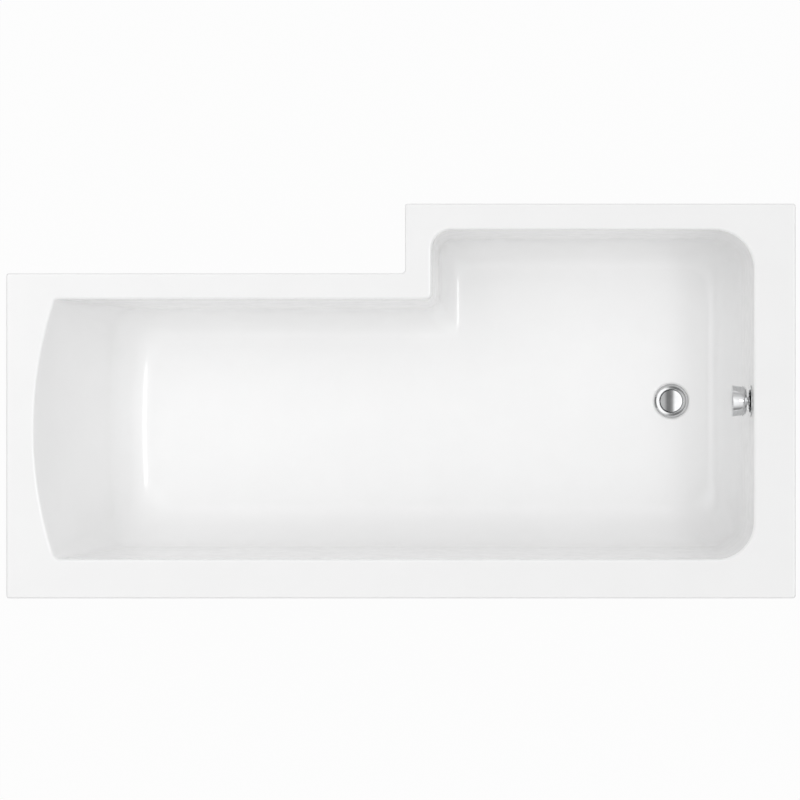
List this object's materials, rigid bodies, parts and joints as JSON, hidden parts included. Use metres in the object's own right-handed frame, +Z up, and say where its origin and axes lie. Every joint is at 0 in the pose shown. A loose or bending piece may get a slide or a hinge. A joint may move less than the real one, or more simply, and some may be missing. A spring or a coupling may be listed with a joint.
{
  "type": "l-shaped shower bath",
  "caption": "Straight bath with a wider, squared shower end, sloping backrest, pop-up waste worked by an overflow knob, adjustable feet and wall brackets.",
  "frame": {"origin": "centre of the bath's rectangular outline, on the floor under its feet", "axes": "+X from the head end towards the waste end, +Y from the wall side towards the front with the step in it, +Z up"},
  "size_m": [1.7, 0.85, 0.54],
  "materials": {
    "acrylic": "gloss",
    "glassfibre": "rough",
    "chipboard": "raw",
    "timber": "raw",
    "zinc_steel": "zinc plated",
    "foot_plastic": "satin",
    "chrome": "polished",
    "spindle_steel": "turned",
    "seal_rubber": "matt",
    "waste_plastic": "satin",
    "hose_plastic": "satin",
    "cable_sheath": "satin",
    "lever_plastic": "satin"
  },
  "bodies": {
    "bath": {"bar_screws": "zinc_steel", "base_board": "chipboard", "bath_shell": "acrylic", "bracket_screws": "zinc_steel", "glassfibre_backing": "glassfibre", "hose_nut_lower": "waste_plastic", "hose_nut_upper": "waste_plastic", "leg_bar_head": "zinc_steel", "leg_bar_middle": "zinc_steel", "leg_bar_shower": "zinc_steel", "leg_nuts": "zinc_steel", "lever_pin": "spindle_steel", "lift_cable": "cable_sheath", "overflow_cover": "chrome", "overflow_elbow": "waste_plastic", "overflow_gasket": "seal_rubber", "overflow_hose": "hose_plastic", "rim_batten_front": "timber", "rim_batten_head": "timber", "rim_batten_narrow": "timber", "rim_batten_step": "timber", "rim_batten_tap": "timber", "rim_batten_wall": "timber", "tap_bracket_1": "zinc_steel", "tap_bracket_2": "zinc_steel", "wall_bracket_1": "zinc_steel", "wall_bracket_2": "zinc_steel", "waste_body": "waste_plastic", "waste_bottom_seal": "seal_rubber", "waste_flange": "chrome", "waste_top_seal": "seal_rubber"},
    "knob": {"overflow_knob": "chrome", "knob_spindle": "spindle_steel", "cable_drum": "lever_plastic"},
    "plug": {"waste_plug": "chrome", "plug_seal": "seal_rubber"},
    "lever": {"lift_lever": "lever_plastic"},
    "foot_1": {"foot_pad_1": "foot_plastic", "foot_stud_1": "zinc_steel"},
    "foot_2": {"foot_pad_2": "foot_plastic", "foot_stud_2": "zinc_steel"},
    "foot_3": {"foot_pad_3": "foot_plastic", "foot_stud_3": "zinc_steel"},
    "foot_4": {"foot_pad_4": "foot_plastic", "foot_stud_4": "zinc_steel"},
    "foot_5": {"foot_pad_5": "foot_plastic", "foot_stud_5": "zinc_steel"},
    "foot_6": {"foot_pad_6": "foot_plastic", "foot_stud_6": "zinc_steel"}
  },
  "joints": [
    {"name": "knob_turn", "type": "hinge", "parent": "bath", "child": "knob", "pos_m": [0.75435, 0, 0.472], "axis": [-0.9966, 0, 0.0828], "range_deg": [0, 90]},
    {"name": "plug_lift", "type": "slide", "parent": "bath", "child": "plug", "axis": [0, 0, 1], "range_m": [0, 0.008]},
    {"name": "lever_turn", "type": "hinge", "parent": "bath", "child": "lever", "pos_m": [0.604, 0, 0.112], "axis": [0, 1, 0], "range_deg": [0, 27]},
    {"name": "foot_1_height", "type": "slide", "parent": "bath", "child": "foot_1", "axis": [0, 0, -1], "range_m": [0, 0.03]},
    {"name": "foot_2_height", "type": "slide", "parent": "bath", "child": "foot_2", "axis": [0, 0, -1], "range_m": [0, 0.03]},
    {"name": "foot_3_height", "type": "slide", "parent": "bath", "child": "foot_3", "axis": [0, 0, -1], "range_m": [0, 0.03]},
    {"name": "foot_4_height", "type": "slide", "parent": "bath", "child": "foot_4", "axis": [0, 0, -1], "range_m": [0, 0.03]},
    {"name": "foot_5_height", "type": "slide", "parent": "bath", "child": "foot_5", "axis": [0, 0, -1], "range_m": [0, 0.03]},
    {"name": "foot_6_height", "type": "slide", "parent": "bath", "child": "foot_6", "axis": [0, 0, -1], "range_m": [0, 0.03]}
  ],
  "couplings": [
    {"joint": "plug_lift", "follows": "knob_turn", "m_per_rad": 0.005093},
    {"joint": "lever_turn", "follows": "knob_turn", "ratio": 0.3}
  ]
}
